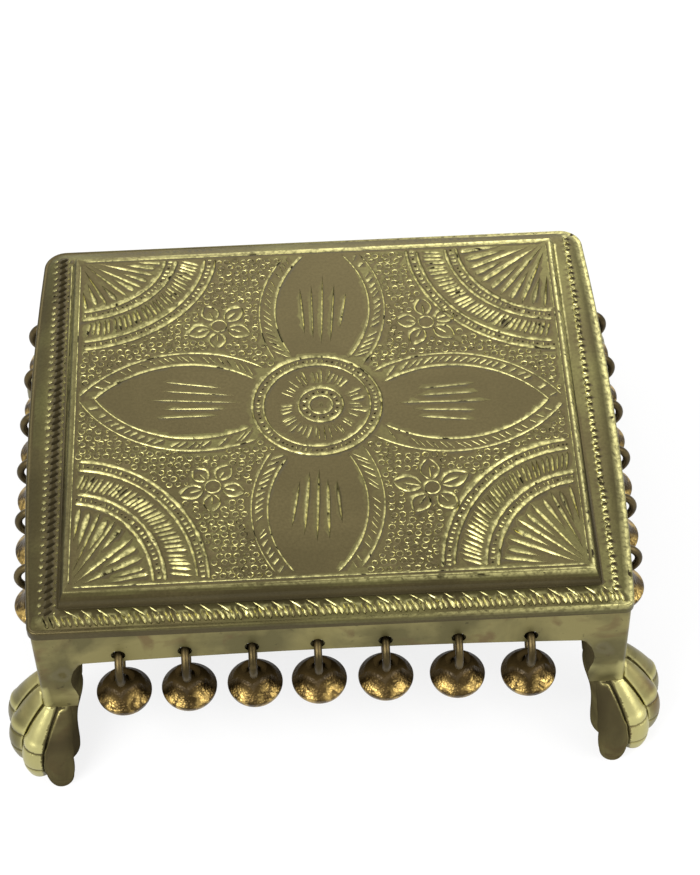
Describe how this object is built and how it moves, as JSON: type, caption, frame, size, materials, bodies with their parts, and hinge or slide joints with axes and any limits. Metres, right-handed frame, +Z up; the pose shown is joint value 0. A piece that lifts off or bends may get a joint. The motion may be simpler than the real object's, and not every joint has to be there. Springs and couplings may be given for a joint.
{
  "type": "puja stool",
  "caption": "Low rectangular cast brass stool with an engraved raised top, splayed paw feet and jingle bells hung from rings along all four sides",
  "frame": {"origin": "on the floor under the middle of the plate", "axes": "+Z up, -Y the front that the picture shows, +X to the right"},
  "size_m": [0.2552, 0.2262, 0.09],
  "materials": {
    "plate_brass": "aged, hand engraved",
    "frame_brass": "aged, filed smooth",
    "ring_brass": "drawn wire, tarnished",
    "bell_bronze": "cast, dark with rubbed high spots"
  },
  "bodies": {
    "stool": {"top_plate": "plate_brass", "front_leg_frame": "frame_brass", "back_leg_frame": "frame_brass", "left_rail": "frame_brass", "right_rail": "frame_brass"},
    "front_ring_1": {"front_ring_1": "ring_brass"},
    "front_bell_1": {"front_bell_1": "bell_bronze"},
    "front_ring_2": {"front_ring_2": "ring_brass"},
    "front_bell_2": {"front_bell_2": "bell_bronze"},
    "front_ring_3": {"front_ring_3": "ring_brass"},
    "front_bell_3": {"front_bell_3": "bell_bronze"},
    "front_ring_4": {"front_ring_4": "ring_brass"},
    "front_bell_4": {"front_bell_4": "bell_bronze"},
    "front_ring_5": {"front_ring_5": "ring_brass"},
    "front_bell_5": {"front_bell_5": "bell_bronze"},
    "front_ring_6": {"front_ring_6": "ring_brass"},
    "front_bell_6": {"front_bell_6": "bell_bronze"},
    "front_ring_7": {"front_ring_7": "ring_brass"},
    "front_bell_7": {"front_bell_7": "bell_bronze"},
    "back_ring_1": {"back_ring_1": "ring_brass"},
    "back_bell_1": {"back_bell_1": "bell_bronze"},
    "back_ring_2": {"back_ring_2": "ring_brass"},
    "back_bell_2": {"back_bell_2": "bell_bronze"},
    "back_ring_3": {"back_ring_3": "ring_brass"},
    "back_bell_3": {"back_bell_3": "bell_bronze"},
    "back_ring_4": {"back_ring_4": "ring_brass"},
    "back_bell_4": {"back_bell_4": "bell_bronze"},
    "back_ring_5": {"back_ring_5": "ring_brass"},
    "back_bell_5": {"back_bell_5": "bell_bronze"},
    "back_ring_6": {"back_ring_6": "ring_brass"},
    "back_bell_6": {"back_bell_6": "bell_bronze"},
    "back_ring_7": {"back_ring_7": "ring_brass"},
    "back_bell_7": {"back_bell_7": "bell_bronze"},
    "left_ring_1": {"left_ring_1": "ring_brass"},
    "left_bell_1": {"left_bell_1": "bell_bronze"},
    "left_ring_2": {"left_ring_2": "ring_brass"},
    "left_bell_2": {"left_bell_2": "bell_bronze"},
    "left_ring_3": {"left_ring_3": "ring_brass"},
    "left_bell_3": {"left_bell_3": "bell_bronze"},
    "left_ring_4": {"left_ring_4": "ring_brass"},
    "left_bell_4": {"left_bell_4": "bell_bronze"},
    "left_ring_5": {"left_ring_5": "ring_brass"},
    "left_bell_5": {"left_bell_5": "bell_bronze"},
    "left_ring_6": {"left_ring_6": "ring_brass"},
    "left_bell_6": {"left_bell_6": "bell_bronze"},
    "right_ring_1": {"right_ring_1": "ring_brass"},
    "right_bell_1": {"right_bell_1": "bell_bronze"},
    "right_ring_2": {"right_ring_2": "ring_brass"},
    "right_bell_2": {"right_bell_2": "bell_bronze"},
    "right_ring_3": {"right_ring_3": "ring_brass"},
    "right_bell_3": {"right_bell_3": "bell_bronze"},
    "right_ring_4": {"right_ring_4": "ring_brass"},
    "right_bell_4": {"right_bell_4": "bell_bronze"},
    "right_ring_5": {"right_ring_5": "ring_brass"},
    "right_bell_5": {"right_bell_5": "bell_bronze"},
    "right_ring_6": {"right_ring_6": "ring_brass"},
    "right_bell_6": {"right_bell_6": "bell_bronze"}
  },
  "joints": [
    {"name": "front_ring_1_sway", "type": "hinge", "parent": "stool", "child": "front_ring_1", "pos_m": [-0.07948, -0.0952, 0.06424], "axis": [0, 1, 0], "range_deg": [-6, 6]},
    {"name": "front_bell_1_swing", "type": "hinge", "parent": "front_ring_1", "child": "front_bell_1", "pos_m": [-0.07948, -0.0952, 0.05299], "axis": [1, 0, 0], "range_deg": [-20, 20]},
    {"name": "front_ring_2_sway", "type": "hinge", "parent": "stool", "child": "front_ring_2", "pos_m": [-0.0547, -0.0952, 0.06514], "axis": [0, 1, 0], "range_deg": [-6, 6]},
    {"name": "front_bell_2_swing", "type": "hinge", "parent": "front_ring_2", "child": "front_bell_2", "pos_m": [-0.0547, -0.0952, 0.05389], "axis": [1, 0, 0], "range_deg": [-20, 20]},
    {"name": "front_ring_3_sway", "type": "hinge", "parent": "stool", "child": "front_ring_3", "pos_m": [-0.02975, -0.0952, 0.06571], "axis": [0, 1, 0], "range_deg": [-6, 6]},
    {"name": "front_bell_3_swing", "type": "hinge", "parent": "front_ring_3", "child": "front_bell_3", "pos_m": [-0.02975, -0.0952, 0.05446], "axis": [1, 0, 0], "range_deg": [-20, 20]},
    {"name": "front_ring_4_sway", "type": "hinge", "parent": "stool", "child": "front_ring_4", "pos_m": [-0.00537, -0.0952, 0.06594], "axis": [0, 1, 0], "range_deg": [-6, 6]},
    {"name": "front_bell_4_swing", "type": "hinge", "parent": "front_ring_4", "child": "front_bell_4", "pos_m": [-0.00537, -0.0952, 0.05469], "axis": [1, 0, 0], "range_deg": [-20, 20]},
    {"name": "front_ring_5_sway", "type": "hinge", "parent": "stool", "child": "front_ring_5", "pos_m": [0.01989, -0.0952, 0.06584], "axis": [0, 1, 0], "range_deg": [-6, 6]},
    {"name": "front_bell_5_swing", "type": "hinge", "parent": "front_ring_5", "child": "front_bell_5", "pos_m": [0.01989, -0.0952, 0.05459], "axis": [1, 0, 0], "range_deg": [-20, 20]},
    {"name": "front_ring_6_sway", "type": "hinge", "parent": "stool", "child": "front_ring_6", "pos_m": [0.04708, -0.0952, 0.06535], "axis": [0, 1, 0], "range_deg": [-6, 6]},
    {"name": "front_bell_6_swing", "type": "hinge", "parent": "front_ring_6", "child": "front_bell_6", "pos_m": [0.04708, -0.0952, 0.0541], "axis": [1, 0, 0], "range_deg": [-20, 20]},
    {"name": "front_ring_7_sway", "type": "hinge", "parent": "stool", "child": "front_ring_7", "pos_m": [0.0741, -0.0952, 0.06446], "axis": [0, 1, 0], "range_deg": [-6, 6]},
    {"name": "front_bell_7_swing", "type": "hinge", "parent": "front_ring_7", "child": "front_bell_7", "pos_m": [0.0741, -0.0952, 0.05321], "axis": [1, 0, 0], "range_deg": [-20, 20]},
    {"name": "back_ring_1_sway", "type": "hinge", "parent": "stool", "child": "back_ring_1", "pos_m": [-0.07948, 0.0952, 0.06424], "axis": [0, 1, 0], "range_deg": [-6, 6]},
    {"name": "back_bell_1_swing", "type": "hinge", "parent": "back_ring_1", "child": "back_bell_1", "pos_m": [-0.07948, 0.0952, 0.05299], "axis": [1, 0, 0], "range_deg": [-20, 20]},
    {"name": "back_ring_2_sway", "type": "hinge", "parent": "stool", "child": "back_ring_2", "pos_m": [-0.0547, 0.0952, 0.06514], "axis": [0, 1, 0], "range_deg": [-6, 6]},
    {"name": "back_bell_2_swing", "type": "hinge", "parent": "back_ring_2", "child": "back_bell_2", "pos_m": [-0.0547, 0.0952, 0.05389], "axis": [1, 0, 0], "range_deg": [-20, 20]},
    {"name": "back_ring_3_sway", "type": "hinge", "parent": "stool", "child": "back_ring_3", "pos_m": [-0.02975, 0.0952, 0.06571], "axis": [0, 1, 0], "range_deg": [-6, 6]},
    {"name": "back_bell_3_swing", "type": "hinge", "parent": "back_ring_3", "child": "back_bell_3", "pos_m": [-0.02975, 0.0952, 0.05446], "axis": [1, 0, 0], "range_deg": [-20, 20]},
    {"name": "back_ring_4_sway", "type": "hinge", "parent": "stool", "child": "back_ring_4", "pos_m": [-0.00537, 0.0952, 0.06594], "axis": [0, 1, 0], "range_deg": [-6, 6]},
    {"name": "back_bell_4_swing", "type": "hinge", "parent": "back_ring_4", "child": "back_bell_4", "pos_m": [-0.00537, 0.0952, 0.05469], "axis": [1, 0, 0], "range_deg": [-20, 20]},
    {"name": "back_ring_5_sway", "type": "hinge", "parent": "stool", "child": "back_ring_5", "pos_m": [0.01989, 0.0952, 0.06584], "axis": [0, 1, 0], "range_deg": [-6, 6]},
    {"name": "back_bell_5_swing", "type": "hinge", "parent": "back_ring_5", "child": "back_bell_5", "pos_m": [0.01989, 0.0952, 0.05459], "axis": [1, 0, 0], "range_deg": [-20, 20]},
    {"name": "back_ring_6_sway", "type": "hinge", "parent": "stool", "child": "back_ring_6", "pos_m": [0.04708, 0.0952, 0.06535], "axis": [0, 1, 0], "range_deg": [-6, 6]},
    {"name": "back_bell_6_swing", "type": "hinge", "parent": "back_ring_6", "child": "back_bell_6", "pos_m": [0.04708, 0.0952, 0.0541], "axis": [1, 0, 0], "range_deg": [-20, 20]},
    {"name": "back_ring_7_sway", "type": "hinge", "parent": "stool", "child": "back_ring_7", "pos_m": [0.0741, 0.0952, 0.06446], "axis": [0, 1, 0], "range_deg": [-6, 6]},
    {"name": "back_bell_7_swing", "type": "hinge", "parent": "back_ring_7", "child": "back_bell_7", "pos_m": [0.0741, 0.0952, 0.05321], "axis": [1, 0, 0], "range_deg": [-20, 20]},
    {"name": "left_ring_1_sway", "type": "hinge", "parent": "stool", "child": "left_ring_1", "pos_m": [-0.11182, -0.05653, 0.06925], "axis": [1, 0, 0], "range_deg": [-6, 6]},
    {"name": "left_bell_1_swing", "type": "hinge", "parent": "left_ring_1", "child": "left_bell_1", "pos_m": [-0.11182, -0.05653, 0.05799], "axis": [0, 1, 0], "range_deg": [-20, 20]},
    {"name": "left_ring_2_sway", "type": "hinge", "parent": "stool", "child": "left_ring_2", "pos_m": [-0.11267, -0.02979, 0.06925], "axis": [1, 0, 0], "range_deg": [-6, 6]},
    {"name": "left_bell_2_swing", "type": "hinge", "parent": "left_ring_2", "child": "left_bell_2", "pos_m": [-0.11267, -0.02979, 0.05799], "axis": [0, 1, 0], "range_deg": [-20, 20]},
    {"name": "left_ring_3_sway", "type": "hinge", "parent": "stool", "child": "left_ring_3", "pos_m": [-0.11299, -0.00474, 0.06925], "axis": [1, 0, 0], "range_deg": [-6, 6]},
    {"name": "left_bell_3_swing", "type": "hinge", "parent": "left_ring_3", "child": "left_bell_3", "pos_m": [-0.11299, -0.00474, 0.05799], "axis": [0, 1, 0], "range_deg": [-20, 20]},
    {"name": "left_ring_4_sway", "type": "hinge", "parent": "stool", "child": "left_ring_4", "pos_m": [-0.11286, 0.01943, 0.06925], "axis": [1, 0, 0], "range_deg": [-6, 6]},
    {"name": "left_bell_4_swing", "type": "hinge", "parent": "left_ring_4", "child": "left_bell_4", "pos_m": [-0.11286, 0.01943, 0.05799], "axis": [0, 1, 0], "range_deg": [-20, 20]},
    {"name": "left_ring_5_sway", "type": "hinge", "parent": "stool", "child": "left_ring_5", "pos_m": [-0.1123, 0.04353, 0.06925], "axis": [1, 0, 0], "range_deg": [-6, 6]},
    {"name": "left_bell_5_swing", "type": "hinge", "parent": "left_ring_5", "child": "left_bell_5", "pos_m": [-0.1123, 0.04353, 0.05799], "axis": [0, 1, 0], "range_deg": [-20, 20]},
    {"name": "left_ring_6_sway", "type": "hinge", "parent": "stool", "child": "left_ring_6", "pos_m": [-0.11131, 0.0677, 0.06925], "axis": [1, 0, 0], "range_deg": [-6, 6]},
    {"name": "left_bell_6_swing", "type": "hinge", "parent": "left_ring_6", "child": "left_bell_6", "pos_m": [-0.11131, 0.0677, 0.05799], "axis": [0, 1, 0], "range_deg": [-20, 20]},
    {"name": "right_ring_1_sway", "type": "hinge", "parent": "stool", "child": "right_ring_1", "pos_m": [0.11163, -0.06093, 0.06925], "axis": [1, 0, 0], "range_deg": [-6, 6]},
    {"name": "right_bell_1_swing", "type": "hinge", "parent": "right_ring_1", "child": "right_bell_1", "pos_m": [0.11163, -0.06093, 0.05799], "axis": [0, 1, 0], "range_deg": [-20, 20]},
    {"name": "right_ring_2_sway", "type": "hinge", "parent": "stool", "child": "right_ring_2", "pos_m": [0.11253, -0.03588, 0.06925], "axis": [1, 0, 0], "range_deg": [-6, 6]},
    {"name": "right_bell_2_swing", "type": "hinge", "parent": "right_ring_2", "child": "right_bell_2", "pos_m": [0.11253, -0.03588, 0.05799], "axis": [0, 1, 0], "range_deg": [-20, 20]},
    {"name": "right_ring_3_sway", "type": "hinge", "parent": "stool", "child": "right_ring_3", "pos_m": [0.11295, -0.01164, 0.06925], "axis": [1, 0, 0], "range_deg": [-6, 6]},
    {"name": "right_bell_3_swing", "type": "hinge", "parent": "right_ring_3", "child": "right_bell_3", "pos_m": [0.11295, -0.01164, 0.05799], "axis": [0, 1, 0], "range_deg": [-20, 20]},
    {"name": "right_ring_4_sway", "type": "hinge", "parent": "stool", "child": "right_ring_4", "pos_m": [0.11294, 0.01259, 0.06925], "axis": [1, 0, 0], "range_deg": [-6, 6]},
    {"name": "right_bell_4_swing", "type": "hinge", "parent": "right_ring_4", "child": "right_bell_4", "pos_m": [0.11294, 0.01259, 0.05799], "axis": [0, 1, 0], "range_deg": [-20, 20]},
    {"name": "right_ring_5_sway", "type": "hinge", "parent": "stool", "child": "right_ring_5", "pos_m": [0.1125, 0.03669, 0.06925], "axis": [1, 0, 0], "range_deg": [-6, 6]},
    {"name": "right_bell_5_swing", "type": "hinge", "parent": "right_ring_5", "child": "right_bell_5", "pos_m": [0.1125, 0.03669, 0.05799], "axis": [0, 1, 0], "range_deg": [-20, 20]},
    {"name": "right_ring_6_sway", "type": "hinge", "parent": "stool", "child": "right_ring_6", "pos_m": [0.11164, 0.06079, 0.06925], "axis": [1, 0, 0], "range_deg": [-6, 6]},
    {"name": "right_bell_6_swing", "type": "hinge", "parent": "right_ring_6", "child": "right_bell_6", "pos_m": [0.11164, 0.06079, 0.05799], "axis": [0, 1, 0], "range_deg": [-20, 20]}
  ]
}
